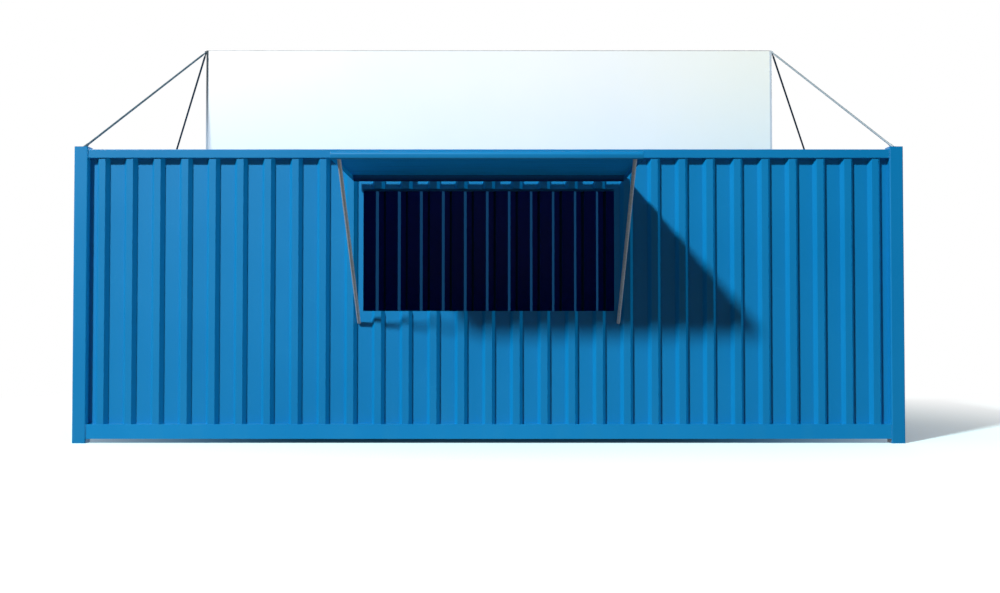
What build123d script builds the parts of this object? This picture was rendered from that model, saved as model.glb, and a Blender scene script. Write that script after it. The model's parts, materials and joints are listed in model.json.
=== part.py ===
from build123d import *
import os
from math import atan2, degrees, pi, tan

# A steel shipping container fitted out as a kiosk: corrugated walls in a frame of posts and rails,
# a serving hatch whose flap is propped open, and a plain board on the roof held by four stays.
# Millimetres. +X runs to the right along the front, -Y faces the customers, +Z is up.
# The origin is on the ground, at the middle of the whole footprint with the flap open.

# Whole container
container_length = 7315
container_width = 2438
container_height = 2614

# Corner posts: square tube, open at the foot and plated at the head
post_size = 120
post_wall = 6
post_corner_radius = 10

# Top and bottom rails, set back from the faces of the posts
rail_setback = 4
top_rail_height = 78
top_rail_depth = 60
top_rail_wall = 4
top_rail_radius = 6
top_rail_drop = 25
bottom_rail_height = 127
bottom_rail_depth = 54
bottom_rail_wall = 5
bottom_rail_lift = 39

# Corrugated wall sheet
wall_setback = 14
wall_sheet = 2
wall_rib_spacing = 244
wall_rib_face = 58
wall_rib_flank = 28
wall_rib_depth = 45

# Roof sheet, with pressed ribs that run across the container
roof_sheet = 2
roof_rib_spacing = 209
roof_rib_face = 91
roof_rib_flank = 14
roof_rib_depth = 20
roof_drop = 4

# Floor: boards on steel cross members between the bottom rails
floor_board_thickness = 28
cross_member_height = 84
cross_member_width = 45
cross_member_wall = 4
cross_member_spacing = 350
fitting_gap = 1

# Serving hatch cut in the front wall
hatch_opening_width = 2222
hatch_opening_bottom = 1161
hatch_head_drop = 371

# Flap over the hatch: a steel tray with a rounded nose and a wooden liner, level when it is open
flap_width = 2400
flap_reach = 1250
flap_rim_height = 62
flap_skin = 3
flap_nose_radius = 30
flap_lip_radius = 16
flap_edge_radius = 6
flap_liner_thickness = 15
flap_liner_gap = 2

# Hinges on the ribs above the hatch
hinge_rise = 68
hinge_standoff = 28
hinge_barrel_radius = 9
barrel_sides = 8
hinge_pin_radius = 5
hinge_running_gap = 0.3
hinge_knuckle_length = 40
hinge_knuckle_gap = 1
hinge_leaf_thickness = 4
hinge_leaf_height = 50
hinge_strap_rise = 24
hinge_rib_step = 3

# Props that hold the flap up, each with a ball at the head and a rounded foot
prop_radius = 15
prop_ball_radius = 20
prop_head_inset = 60
prop_head_setback = 55
prop_head_rise = 18
prop_foot_inset = 55
prop_foot_drop = 100
prop_foot_gap = 2
prop_cup_radius = 17
prop_cup_gap = 0.3

# Board on the roof, in a base channel and an edge trim, a little left of the middle
board_width = 5624
board_offset = -10
board_height = 1184
board_thickness = 24
board_trim = 5
board_end_trim = 14
board_channel_wall = 4
board_channel_height = 60
board_channel_clearance = 1
board_trim_gap = 1

# Stays from the board's top corners to the four posts
stay_radius = 6.5
stay_lug_reach = 18
stay_lug_height = 30
stay_lug_thickness = 10
stay_lug_drop = 0
stay_foot_inset = 58

# Cargo doors in the right-hand end
door_gap = 6
door_setback = 45
door_frame_width = 90
door_frame_depth = 50
door_sheet = 2
door_rib_spacing = 420
door_rib_face = 230
door_rib_flank = 32
door_rib_depth = 36
door_hinge_count = 4
door_hinge_reach = 110
door_hinge_height = 60
door_hinge_thickness = 6
door_hinge_barrel_radius = 9
lock_bar_radius = 16
lock_bar_standoff = 22
lock_bar_inset = 260
lock_cheek_width = 14
lock_cheek_height = 70
lock_bracket_width = 64
lock_bracket_height = 44
lock_bracket_shares = (0.06, 0.5, 0.94)
lock_handle_height = 1120
lock_handle_length = 260
lock_handle_width = 34
lock_handle_thickness = 10

overrun = 20

# Places worked out from the sizes above
half_length = container_length / 2
flap_front_reach = flap_reach - wall_setback
front_y = (flap_front_reach - container_width) / 2
rear_y = front_y + container_width
middle_y = (front_y + rear_y) / 2
post_inner_x = half_length - post_size
post_front_y = front_y + post_size
post_rear_y = rear_y - post_size
top_rail_top = container_height - top_rail_drop
top_rail_bottom = top_rail_top - top_rail_height
bottom_rail_top = bottom_rail_lift + bottom_rail_height
wall_rise = top_rail_bottom - bottom_rail_top
hatch_opening_top = container_height - hatch_head_drop
hinge_height = hatch_opening_top + hinge_rise
prop_foot_height = hatch_opening_bottom - prop_foot_drop
long_span = 2 * post_inner_x
short_span = post_rear_y - post_front_y
wall_face_y = front_y + wall_setback


def save(part, name):
    part.label = name
    export_step(part, f"parts/{name}.step")


def ribbed_outline(span, spacing, face, flank, depth, sheet):
    # Section of a ribbed sheet: rib faces at 0, valleys at -depth, middle rib or valley by the count
    count = max(1, round(span / spacing))
    pitch = span / count
    lean = sheet * tan(atan2(depth, flank) / 2)
    half_face = face / 2
    outer = [(-span / 2, -depth)]
    inner = [(-span / 2, -depth - sheet)]
    for number in range(count):
        middle = (number - (count - 1) / 2) * pitch
        for side in (-1, 1):
            foot = (middle + side * (half_face + flank), -depth)
            crest = (middle + side * half_face, 0)
            foot_under = (middle + side * (half_face + flank - lean), -depth - sheet)
            crest_under = (middle + side * (half_face - lean), -sheet)
            outer += [foot, crest] if side < 0 else [crest, foot]
            inner += [foot_under, crest_under] if side < 0 else [crest_under, foot_under]
    outer.append((span / 2, -depth))
    inner.append((span / 2, -depth - sheet))
    return outer + inner[::-1]


def wall_panel(plane, span, low, high, left, right):
    # A piece of ribbed wall between two heights and two places along the wall
    outline = ribbed_outline(span, wall_rib_spacing, wall_rib_face, wall_rib_flank, wall_rib_depth, wall_sheet)
    with BuildPart() as panel:
        with BuildSketch(plane.offset(low)):
            with BuildLine():
                Polyline(*outline, close=True)
            make_face()
            with Locations(((left + right) / 2, 0)):
                Rectangle(right - left, 2 * span, mode=Mode.INTERSECT)
        extrude(amount=high - low)
    return panel.part


def barrel_outline(radius):
    # A hinge barrel is many-sided, with flats where it meets leaf and post
    RegularPolygon(radius, barrel_sides, major_radius=False, rotation=degrees(pi / barrel_sides))


def corner_places(inset):
    # The four corners of the container, moved in along both directions
    return [(x, y) for x in (-half_length + inset, half_length - inset) for y in (front_y + inset, rear_y - inset)]


def corner_post(place):
    with BuildPart() as post:
        with BuildSketch():
            with Locations(place):
                RectangleRounded(post_size, post_size, post_corner_radius)
        extrude(amount=container_height)
        with BuildSketch():
            with Locations(place):
                Rectangle(post_size - 2 * post_wall, post_size - 2 * post_wall)
        extrude(amount=container_height - post_wall, mode=Mode.SUBTRACT)
    return post.part


def top_rail(plane, length, top):
    # Square tube between two posts: the plane's x axis points into the container, its y axis up
    height = top - top_rail_bottom
    with BuildPart() as rail:
        with BuildSketch(plane):
            with Locations((rail_setback + top_rail_depth / 2, top_rail_bottom + height / 2)):
                RectangleRounded(top_rail_depth, height, top_rail_radius)
                Rectangle(top_rail_depth - 2 * top_rail_wall, height - 2 * top_rail_wall, mode=Mode.SUBTRACT)
        extrude(amount=length)
    return rail.part


def bottom_rail(plane, length):
    # Channel between two posts, open towards the inside
    middle_in = rail_setback + bottom_rail_depth / 2
    middle_up = bottom_rail_lift + bottom_rail_height / 2
    with BuildPart() as rail:
        with BuildSketch(plane):
            with Locations((middle_in, middle_up)):
                Rectangle(bottom_rail_depth, bottom_rail_height)
            with Locations((middle_in + bottom_rail_wall, middle_up)):
                Rectangle(bottom_rail_depth, bottom_rail_height - 2 * bottom_rail_wall, mode=Mode.SUBTRACT)
        extrude(amount=length)
    return rail.part


os.makedirs("parts", exist_ok=True)

# Corner posts
post_names = ("front_left_post", "rear_left_post", "front_right_post", "rear_right_post")
for post_name, place in zip(post_names, corner_places(post_size / 2)):
    save(corner_post(place), post_name)

# Rails: each plane starts at a post, faces along the rail and has its x axis pointing into the container.
# The long top rails lie a little lower than the posts, and the end ones are level with them.
front_rails = Plane(origin=(-post_inner_x, front_y, 0), x_dir=(0, 1, 0), z_dir=(1, 0, 0))
rear_rails = Plane(origin=(post_inner_x, rear_y, 0), x_dir=(0, -1, 0), z_dir=(-1, 0, 0))
left_rails = Plane(origin=(-half_length, post_rear_y, 0), x_dir=(1, 0, 0), z_dir=(0, -1, 0))
right_rails = Plane(origin=(half_length, post_front_y, 0), x_dir=(-1, 0, 0), z_dir=(0, 1, 0))
rail_planes = {
    "front": (front_rails, long_span, top_rail_top),
    "rear": (rear_rails, long_span, top_rail_top),
    "left": (left_rails, short_span, container_height),
    "right": (right_rails, short_span, container_height),
}
for side, (plane, length, top) in rail_planes.items():
    save(top_rail(plane, length, top), f"{side}_top_rail")
    save(bottom_rail(plane, length), f"{side}_bottom_rail")

# Ribbed walls: each plane's y axis points out of the container
front_wall = Plane(origin=(0, wall_face_y, 0), x_dir=(-1, 0, 0), z_dir=(0, 0, 1))
rear_wall = Plane(origin=(0, rear_y - wall_setback, 0), x_dir=(1, 0, 0), z_dir=(0, 0, 1))
left_wall = Plane(origin=(-half_length + wall_setback, middle_y, 0), x_dir=(0, 1, 0), z_dir=(0, 0, 1))
half_opening = hatch_opening_width / 2
half_span = long_span / 2
wall_panels = {
    "front_wall_left": (front_wall, long_span, bottom_rail_top, top_rail_bottom, half_opening, half_span),
    "front_wall_right": (front_wall, long_span, bottom_rail_top, top_rail_bottom, -half_span, -half_opening),
    "front_wall_below_hatch": (
        front_wall, long_span, bottom_rail_top, hatch_opening_bottom, -half_opening, half_opening,
    ),
    "front_wall_above_hatch": (
        front_wall, long_span, hatch_opening_top, top_rail_bottom, -half_opening, half_opening,
    ),
    "rear_wall": (rear_wall, long_span, bottom_rail_top, top_rail_bottom, -half_span, half_span),
    "left_end_wall": (
        left_wall, short_span, bottom_rail_top, top_rail_bottom, -short_span / 2, short_span / 2,
    ),
}
for wall_name, panel_place in wall_panels.items():
    save(wall_panel(*panel_place), wall_name)

# Cargo doors: two leaves that fill the right-hand end, each a frame round a sheet with level ribs
leaf_width = (short_span - 3 * door_gap) / 2
leaf_height = wall_rise - 2 * door_gap
leaf_face_x = half_length - door_setback
leaf_low_z = bottom_rail_top + door_gap
for leaf_name, leaf_start_y in (
    ("right_end_door_front", post_front_y + door_gap),
    ("right_end_door_rear", middle_y + door_gap / 2),
):
    sheet_width = leaf_width - 2 * door_frame_width
    sheet_height = leaf_height - 2 * door_frame_width
    door_outline = ribbed_outline(
        sheet_height, door_rib_spacing, door_rib_face, door_rib_flank, door_rib_depth, door_sheet
    )
    leaf_middle = (leaf_start_y + leaf_width / 2, leaf_low_z + leaf_height / 2)
    sheet_plane = Plane(
        origin=(leaf_face_x, leaf_start_y + door_frame_width, leaf_middle[1]), x_dir=(0, 0, 1), z_dir=(0, 1, 0)
    )
    with BuildPart() as door_leaf:
        with BuildSketch(Plane.YZ.offset(leaf_face_x - door_frame_depth)):
            with Locations(leaf_middle):
                Rectangle(leaf_width, leaf_height)
                Rectangle(sheet_width, sheet_height, mode=Mode.SUBTRACT)
        extrude(amount=door_frame_depth)
        with BuildSketch(sheet_plane):
            with BuildLine():
                Polyline(*door_outline, close=True)
            make_face()
        extrude(amount=sheet_width)
    save(door_leaf.part, leaf_name)

# Door hinges: a strap on each leaf that ends in a barrel against the post
with BuildPart() as door_hinges:
    for post_face_y, inward in ((post_front_y, 1), (post_rear_y, -1)):
        strap_middle_y = post_face_y + inward * door_hinge_reach / 2
        barrel_y = post_face_y + inward * door_hinge_barrel_radius
        for number in range(door_hinge_count):
            hinge_z = leaf_low_z + leaf_height * (number + 1 / 2) / door_hinge_count - door_hinge_height / 2
            with BuildSketch(Plane.XY.offset(hinge_z)):
                with Locations((leaf_face_x + door_hinge_thickness / 2, strap_middle_y)):
                    Rectangle(door_hinge_thickness, door_hinge_reach)
                with Locations((leaf_face_x + door_hinge_barrel_radius, barrel_y)):
                    barrel_outline(door_hinge_barrel_radius)
            extrude(amount=door_hinge_height)
save(door_hinges.part, "right_end_door_hinges")

# Locking bars: two round bars on each leaf, from the sill to the header
bar_x = leaf_face_x + lock_bar_standoff
bar_places = []
for leaf_start_y in (post_front_y + door_gap, middle_y + door_gap / 2):
    bar_places.append((leaf_start_y + lock_bar_inset, 1))
    bar_places.append((leaf_start_y + leaf_width - lock_bar_inset, -1))
with BuildPart() as lock_bars:
    for bar_y, inward in bar_places:
        with BuildSketch(Plane.XY.offset(bottom_rail_top)):
            with Locations((bar_x, bar_y)):
                Circle(lock_bar_radius)
        extrude(amount=wall_rise)
save(lock_bars.part, "right_end_lock_bars")

# Two cheeks at both ends of each bar, brackets between bar and leaf, and a handle beside the bar
with BuildPart() as lock_fittings:
    for bar_y, inward in bar_places:
        cheek_offset = lock_bar_radius + lock_cheek_width / 2
        for cheek_z in (bottom_rail_top, top_rail_bottom - lock_cheek_height):
            with BuildSketch(Plane.XY.offset(cheek_z)):
                with Locations((bar_x, bar_y - cheek_offset), (bar_x, bar_y + cheek_offset)):
                    Rectangle(2 * lock_bar_radius, lock_cheek_width)
            extrude(amount=lock_cheek_height)
        bracket_depth = lock_bar_standoff - lock_bar_radius
        for share in lock_bracket_shares:
            bracket_z = leaf_low_z + share * leaf_height
            with BuildSketch(Plane.XY.offset(bracket_z - lock_bracket_height / 2)):
                with Locations((leaf_face_x + bracket_depth / 2, bar_y)):
                    Rectangle(bracket_depth, lock_bracket_width)
            extrude(amount=lock_bracket_height)
        handle_y = bar_y + inward * (lock_bar_radius + lock_handle_length / 2)
        with BuildSketch(Plane.XY.offset(lock_handle_height - lock_handle_width / 2)):
            with Locations((bar_x, handle_y)):
                Rectangle(lock_handle_thickness, lock_handle_length)
        extrude(amount=lock_handle_width)
save(lock_fittings.part, "right_end_lock_fittings")

# Roof sheet between the top rails, cut back round the heads of the posts
roof_top = top_rail_top - roof_drop
roof_margin = rail_setback + top_rail_depth
roof_span = container_length - 2 * roof_margin
roof_plane = Plane(origin=(0, rear_y - roof_margin, roof_top), x_dir=(1, 0, 0), z_dir=(0, -1, 0))
roof_outline = ribbed_outline(
    roof_span, roof_rib_spacing, roof_rib_face, roof_rib_flank, roof_rib_depth, roof_sheet
)
with BuildPart() as roof:
    with BuildSketch(roof_plane):
        with BuildLine():
            Polyline(*roof_outline, close=True)
        make_face()
    extrude(amount=container_width - 2 * roof_margin)
    with BuildSketch(Plane.XY.offset(roof_top + overrun)):
        with Locations(*corner_places(post_size / 2)):
            Rectangle(post_size + 2 * fitting_gap, post_size + 2 * fitting_gap)
    extrude(amount=-roof_rib_depth - roof_sheet - 2 * overrun, mode=Mode.SUBTRACT)
save(roof.part, "roof")

# Floor boards between the bottom rails, cut back round the posts
floor_margin = rail_setback + bottom_rail_depth
floor_low_z = bottom_rail_top - floor_board_thickness
with BuildPart() as floor_boards:
    with BuildSketch(Plane.XY.offset(floor_low_z)):
        with Locations((0, middle_y)):
            Rectangle(container_length - 2 * floor_margin, container_width - 2 * floor_margin)
        with Locations(*corner_places(post_size / 2)):
            Rectangle(post_size + 2 * fitting_gap, post_size + 2 * fitting_gap, mode=Mode.SUBTRACT)
    extrude(amount=floor_board_thickness)
save(floor_boards.part, "floor_boards")

# Cross members under the boards, seated in the channels of the long bottom rails
member_start_y = front_y + rail_setback + bottom_rail_wall
member_length = container_width - 2 * (rail_setback + bottom_rail_wall)
member_count = max(2, int((long_span - cross_member_width) / cross_member_spacing))
member_middle_z = floor_low_z - cross_member_height / 2
with BuildPart() as cross_members:
    with BuildSketch(Plane(origin=(0, member_start_y, member_middle_z), x_dir=(1, 0, 0), z_dir=(0, -1, 0))):
        with GridLocations(cross_member_spacing, 0, member_count, 1):
            Rectangle(cross_member_width, cross_member_height)
            with Locations((cross_member_wall, 0)):
                Rectangle(
                    cross_member_width, cross_member_height - 2 * cross_member_wall, mode=Mode.SUBTRACT
                )
    extrude(amount=-member_length)
save(cross_members.part, "floor_cross_members")

# Flap: a tray with its rim down, and the middle barrel of each hinge on its back rim
hinge_y = wall_face_y - hinge_standoff
flap_front_y = wall_face_y - flap_reach
flap_back_y = hinge_y - hinge_barrel_radius - hinge_knuckle_gap
flap_depth = flap_back_y - flap_front_y
flap_top = hinge_height + flap_rim_height
rib_pitch = long_span / max(1, round(long_span / wall_rib_spacing))
hinge_places = [step * hinge_rib_step * rib_pitch for step in (-1, 0, 1)]
strap_depth = flap_skin + hinge_y - flap_back_y


def nosed_bar(length, front, back, low, high, nose, lip):
    # A bar along the flap: square at the back, rounded above and below at the front
    with BuildPart() as bar:
        with BuildSketch(Plane.YZ.offset(-length / 2)):
            with Locations(((front + back) / 2, (low + high) / 2)):
                outline = Rectangle(back - front, high - low)
            front_corners = outline.vertices().sort_by(Axis.Y)[:2].sort_by(Axis.Z)
            fillet(front_corners[0], radius=lip)
            fillet(front_corners[1], radius=nose)
        extrude(amount=length)
    return bar.part


flap_outside = nosed_bar(
    flap_width, flap_front_y, flap_back_y, hinge_height, flap_top, flap_nose_radius, flap_lip_radius
)
flap_hollow = nosed_bar(
    flap_width - 2 * flap_skin, flap_front_y + flap_skin, flap_back_y - flap_skin, hinge_height + flap_skin,
    flap_top - flap_skin, flap_nose_radius - flap_skin, flap_lip_radius - flap_skin,
)
flap_mouth_depth = flap_depth - flap_lip_radius - flap_skin
with BuildPart() as flap_tray:
    add(flap_outside)
    end_edges = flap_tray.faces().filter_by(Axis.X).edges()
    upper_edges = [edge for edge in end_edges if edge.center().Z > hinge_height + flap_lip_radius]
    fillet(upper_edges, radius=flap_edge_radius)
    add(flap_hollow, mode=Mode.SUBTRACT)
    with BuildSketch(Plane.XY.offset(hinge_height)):
        with Locations((0, flap_back_y - flap_skin - flap_mouth_depth / 2)):
            Rectangle(flap_width - 2 * flap_skin, flap_mouth_depth)
    extrude(amount=2 * flap_skin, mode=Mode.SUBTRACT)
    for place_x in hinge_places:
        with BuildSketch(Plane.YZ.offset(place_x - hinge_knuckle_length / 2)):
            with Locations((hinge_y - strap_depth / 2, hinge_height + hinge_strap_rise / 2)):
                Rectangle(strap_depth, hinge_strap_rise)
            with Locations((hinge_y, hinge_height)):
                barrel_outline(hinge_barrel_radius)
                Circle(hinge_pin_radius + hinge_running_gap, mode=Mode.SUBTRACT)
        extrude(amount=hinge_knuckle_length)
save(flap_tray.part, "hatch_flap")

# Wooden liner under the flap's skin
liner_low_z = flap_top - flap_skin - flap_liner_thickness
liner_depth = flap_depth - flap_nose_radius - flap_skin - flap_liner_gap
with BuildPart() as flap_liner:
    with BuildSketch(Plane.XY.offset(liner_low_z)):
        with Locations((0, flap_front_y + flap_nose_radius + liner_depth / 2)):
            Rectangle(flap_width - 2 * (flap_skin + flap_liner_gap), liner_depth)
    extrude(amount=flap_liner_thickness)
save(flap_liner.part, "hatch_liner")

# Fixed half of each hinge: a leaf on a rib, two outer barrels and the pin through all three
leaf_length = 3 * hinge_knuckle_length + 2 * hinge_knuckle_gap
with BuildPart() as hinge_leaves:
    for place_x in hinge_places:
        with BuildSketch(Plane.XZ.offset(-wall_face_y)):
            with Locations((place_x, hinge_height + hinge_barrel_radius + hinge_leaf_height / 2)):
                Rectangle(leaf_length, hinge_leaf_height)
        extrude(amount=hinge_leaf_thickness)
        for side in (-1, 1):
            knuckle_x = place_x + side * (hinge_knuckle_length + hinge_knuckle_gap)
            with BuildSketch(Plane.YZ.offset(knuckle_x - hinge_knuckle_length / 2)):
                with Locations((hinge_y, hinge_height)):
                    barrel_outline(hinge_barrel_radius)
                with Locations((wall_face_y - hinge_standoff / 2, hinge_height + hinge_barrel_radius / 2)):
                    Rectangle(hinge_standoff, hinge_barrel_radius)
                with Locations((wall_face_y - hinge_leaf_thickness / 2, hinge_height + hinge_barrel_radius)):
                    Rectangle(hinge_leaf_thickness, 2 * hinge_barrel_radius)
            extrude(amount=hinge_knuckle_length)
        with BuildSketch(Plane.YZ.offset(place_x - leaf_length / 2)):
            with Locations((hinge_y, hinge_height)):
                Circle(hinge_pin_radius)
        extrude(amount=leaf_length)
save(hinge_leaves.part, "hatch_hinges")

# Props: round bars from the flap's front corners to the valleys of the wall beside the hatch
head_y = flap_front_y + prop_head_setback
head_z = hinge_height + prop_head_rise
valley_y = wall_face_y + wall_rib_depth
foot_y = valley_y - prop_foot_gap - prop_radius
for prop_name, side in (("left_prop", -1), ("right_prop", 1)):
    head = Vector(side * (flap_width / 2 - prop_head_inset), head_y, head_z)
    foot = Vector(side * (flap_width / 2 - prop_foot_inset), foot_y, prop_foot_height)
    with BuildPart() as prop:
        with BuildSketch(Plane(origin=head, z_dir=foot - head)):
            Circle(prop_radius)
        extrude(amount=(foot - head).length)
        with Locations(head):
            Sphere(prop_ball_radius)
        with Locations(foot):
            Sphere(prop_radius)
    save(prop.part, prop_name)

# Pads under the liner that the heads of the props bear on
cup_low_z = head_z + prop_ball_radius + prop_cup_gap
with BuildPart() as prop_cups:
    for side in (-1, 1):
        cup_middle = (side * (flap_width / 2 - prop_head_inset), head_y)
        with BuildSketch(Plane.XY.offset(cup_low_z)):
            with Locations(cup_middle):
                Circle(prop_cup_radius)
        extrude(amount=liner_low_z - cup_low_z)
save(prop_cups.part, "prop_cups")

# Board: a panel that stands on the roof ribs in a channel, with trim along its top and ends
channel_width = board_thickness + 2 * (board_channel_wall + board_channel_clearance)
board_low_z = roof_top + board_channel_wall
board_top = board_low_z + board_height
with BuildPart() as board_channel:
    with BuildSketch(Plane.YZ.offset(board_offset - board_width / 2)):
        with Locations((middle_y, roof_top + board_channel_height / 2)):
            Rectangle(channel_width, board_channel_height)
        with Locations((middle_y, board_low_z + board_channel_height / 2)):
            Rectangle(board_thickness + 2 * board_channel_clearance, board_channel_height, mode=Mode.SUBTRACT)
    extrude(amount=board_width)
save(board_channel.part, "board_channel")

with BuildPart() as board_panel:
    with BuildSketch(Plane.XZ.offset(-middle_y - board_thickness / 2)):
        with Locations((board_offset, board_low_z + board_height / 2)):
            Rectangle(board_width, board_height)
    extrude(amount=board_thickness)
save(board_panel.part, "sign_board")

with BuildPart() as top_trim:
    with BuildSketch(Plane.XY.offset(board_top)):
        with Locations((board_offset, middle_y)):
            Rectangle(board_width, board_thickness)
    extrude(amount=board_trim)
save(top_trim.part, "board_top_trim")

# End trims, each with the lug for two stays
lug_middle_z = board_top - stay_lug_drop - stay_lug_height / 2
trim_low_z = roof_top + board_channel_height + board_trim_gap
for trim_name, side in (("board_left_trim", -1), ("board_right_trim", 1)):
    edge_x = board_offset + side * board_width / 2
    with BuildPart() as end_trim:
        with BuildSketch(Plane.XY.offset(trim_low_z)):
            with Locations((edge_x + side * board_end_trim / 2, middle_y)):
                Rectangle(board_end_trim, board_thickness)
        extrude(amount=board_top + board_trim - trim_low_z)
        with BuildSketch(Plane.XZ.offset(-middle_y - stay_lug_thickness / 2)):
            with Locations((edge_x + side * (board_end_trim + stay_lug_reach) / 2, lug_middle_z)):
                Rectangle(board_end_trim + stay_lug_reach, stay_lug_height)
        extrude(amount=stay_lug_thickness)
    save(end_trim.part, trim_name)

# Stays: round bars from the lugs down to the heads of the posts, cut flush at both ends
stay_head_x = board_width / 2 + board_end_trim + stay_lug_reach / 2
stay_foot_x = post_inner_x + stay_foot_inset
for depth_name, post_y, face_side in (
    ("front", front_y + post_size / 2, -1),
    ("rear", rear_y - post_size / 2, 1),
):
    for side_name, side in (("left", -1), ("right", 1)):
        lug_face_y = middle_y + face_side * stay_lug_thickness / 2
        stay_head = Vector(board_offset + side * stay_head_x, lug_face_y, lug_middle_z)
        stay_foot = Vector(side * stay_foot_x, post_y, container_height)
        run = stay_head - stay_foot
        spare = run.normalized() * (overrun * stay_radius)
        with BuildPart() as stay:
            with BuildSketch(Plane(origin=stay_foot - spare, z_dir=run)):
                Circle(stay_radius)
            extrude(amount=(run + spare * 2).length)
            split(bisect_by=Plane.XY.offset(container_height), keep=Keep.TOP)
            split(
                bisect_by=Plane(origin=stay_head, x_dir=(1, 0, 0), z_dir=(0, face_side, 0)), keep=Keep.TOP
            )
        save(stay.part, f"{depth_name}_{side_name}_stay")
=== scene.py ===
import json
import math

import bmesh
import bpy
from mathutils import Matrix, Vector


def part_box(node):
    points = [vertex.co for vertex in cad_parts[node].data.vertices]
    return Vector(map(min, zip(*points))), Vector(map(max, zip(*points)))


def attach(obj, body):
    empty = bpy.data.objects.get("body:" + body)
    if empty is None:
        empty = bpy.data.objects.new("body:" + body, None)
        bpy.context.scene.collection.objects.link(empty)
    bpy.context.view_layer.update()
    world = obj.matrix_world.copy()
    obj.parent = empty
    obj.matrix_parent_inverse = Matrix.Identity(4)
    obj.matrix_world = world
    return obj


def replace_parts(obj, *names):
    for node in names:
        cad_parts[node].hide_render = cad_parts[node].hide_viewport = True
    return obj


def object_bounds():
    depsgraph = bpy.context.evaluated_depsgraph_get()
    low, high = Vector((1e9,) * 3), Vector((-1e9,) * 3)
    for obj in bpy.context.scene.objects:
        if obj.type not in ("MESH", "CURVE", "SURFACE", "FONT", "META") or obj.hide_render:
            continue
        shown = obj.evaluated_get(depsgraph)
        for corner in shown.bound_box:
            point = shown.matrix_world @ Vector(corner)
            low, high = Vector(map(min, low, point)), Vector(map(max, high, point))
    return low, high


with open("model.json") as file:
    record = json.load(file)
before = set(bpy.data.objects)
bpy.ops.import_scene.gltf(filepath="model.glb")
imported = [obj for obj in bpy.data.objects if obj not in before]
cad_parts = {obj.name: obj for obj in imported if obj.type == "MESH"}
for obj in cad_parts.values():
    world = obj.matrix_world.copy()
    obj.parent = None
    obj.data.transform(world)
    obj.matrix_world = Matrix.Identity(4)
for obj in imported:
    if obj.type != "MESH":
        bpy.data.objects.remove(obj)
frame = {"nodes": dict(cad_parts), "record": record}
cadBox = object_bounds()
nodes = frame["nodes"]
hingePlace = frame["record"]["behaviour"]["joints"][0]["pos_m"]
scene = bpy.context.scene
print("frame loaded with", len(nodes), "nodes")


class Wire:
    # one output socket of a shader tree; sums and products of wires add Math nodes
    def __init__(self, tree, socket):
        self.tree = tree
        self.socket = socket

    def node(self, kind, settings=None, inputs=None, out=0):
        made = self.tree.nodes.new(kind)
        for key, value in (settings or {}).items():
            setattr(made, key, value)
        for key, value in (inputs or {}).items():
            target = next(s for s in made.inputs if key in (s.identifier, s.name))
            if isinstance(value, Wire):
                self.tree.links.new(value.socket, target)
            else:
                target.default_value = value
        if isinstance(out, int):
            return Wire(self.tree, made.outputs[out])
        return Wire(self.tree, next(s for s in made.outputs if out in (s.identifier, s.name)))

    def sum(self, operation, first, second=0.0):
        return self.node("ShaderNodeMath", {"operation": operation}, {"Value": first, "Value_001": second})

    def __add__(self, other):
        return self.sum("ADD", self, other)

    def __radd__(self, other):
        return self.sum("ADD", other, self)

    def __sub__(self, other):
        return self.sum("SUBTRACT", self, other)

    def __rsub__(self, other):
        return self.sum("SUBTRACT", other, self)

    def __mul__(self, other):
        return self.sum("MULTIPLY", self, other)

    def __rmul__(self, other):
        return self.sum("MULTIPLY", other, self)

    def __gt__(self, other):
        return self.sum("GREATER_THAN", self, other)

    def __lt__(self, other):
        return self.sum("LESS_THAN", self, other)

    def axis(self, letter):
        return self.node("ShaderNodeSeparateXYZ", {}, {"Vector": self}, letter)

    def noise(self, scale, detail=3.0, stretch=(1.0, 1.0, 1.0), rough=0.55):
        place = self.node("ShaderNodeMapping", {}, {"Vector": self, "Scale": stretch})
        inputs = {"Vector": place, "Scale": scale, "Detail": detail, "Roughness": rough}
        return self.node("ShaderNodeTexNoise", {}, inputs, "Fac")

    def ease(self, low, high):
        inputs = {"Value": self, "From Min": low, "From Max": high}
        return self.node("ShaderNodeMapRange", {"interpolation_type": "SMOOTHSTEP"}, inputs)

    def mix(self, factor, first, second, kind="MIX"):
        # two colours, by a number or a wire
        inputs = {"Factor_Float": factor, "A_Color": first, "B_Color": second}
        return self.node("ShaderNodeMix", {"data_type": "RGBA", "blend_type": kind}, inputs, "Result_Color")

    def blend(self, first, second):
        return self.mix(self, first, second)

    def choose(self, first, second):
        # two shaders, the second where this wire is 1
        return self.node("ShaderNodeMixShader", {}, {"Fac": self, "Shader": first, "Shader_001": second})


def rgb(red, green, blue):
    return (red, green, blue, 1.0)


def startFinish(name):
    # an empty material and the wire that carries its object coordinates
    finish = bpy.data.materials.new(name)
    finish.use_nodes = True
    tree = finish.node_tree
    tree.nodes.clear()
    tree.nodes.new("ShaderNodeOutputMaterial")
    return finish, Wire(tree, tree.nodes.new("ShaderNodeTexCoord").outputs["Object"])


def closeFinish(finish, place, inputs, height, lift, strength):
    bump = {"Height": height, "Distance": lift, "Strength": strength}
    inputs["Normal"] = place.node("ShaderNodeBump", {}, bump)
    shader = place.node("ShaderNodeBsdfPrincipled", {}, inputs)
    output = finish.node_tree.nodes["Material Output"]
    finish.node_tree.links.new(shader.socket, output.inputs["Surface"])
    return finish


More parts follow.
